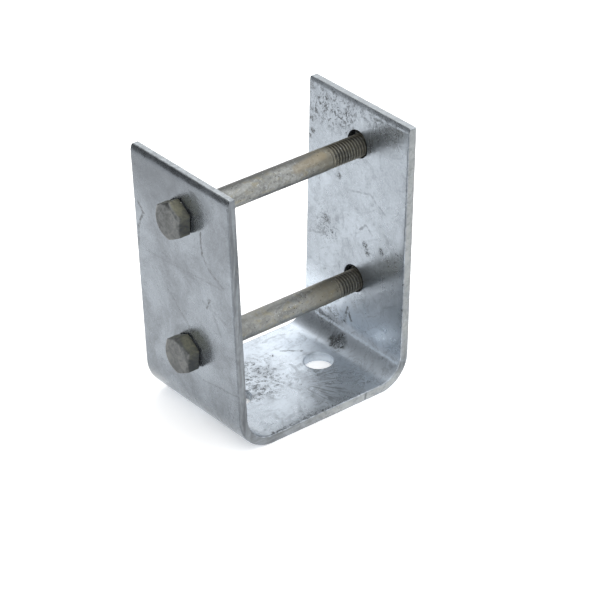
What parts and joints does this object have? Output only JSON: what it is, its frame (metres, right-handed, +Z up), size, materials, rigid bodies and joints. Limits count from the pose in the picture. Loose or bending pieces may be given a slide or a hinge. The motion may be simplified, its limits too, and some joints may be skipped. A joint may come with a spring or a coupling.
{
  "type": "post and bearer bracket",
  "caption": "U-shaped galvanised steel bracket bent from flat bar, drilled in its floor for anchors, with hexagon bolts and nuts across its legs to hold a timber post or bearer.",
  "frame": {"origin": "middle of the underside of the bracket's floor", "axes": "+X along the bolts from their heads to their nuts, +Y across the bar, +Z up the legs, with the open mouth of the U upwards"},
  "size_m": [0.1404, 0.076, 0.1434],
  "materials": {
    "galvanised_bar": "hot-dip galvanised, mottled matt",
    "galvanised_bolt": "galvanised, dull olive grey"
  },
  "bodies": {
    "root": {"bracket": "galvanised_bar", "lower_bolt": "galvanised_bolt", "upper_bolt": "galvanised_bolt", "lower_nut": "galvanised_bolt", "upper_nut": "galvanised_bolt"}
  },
  "joints": []
}
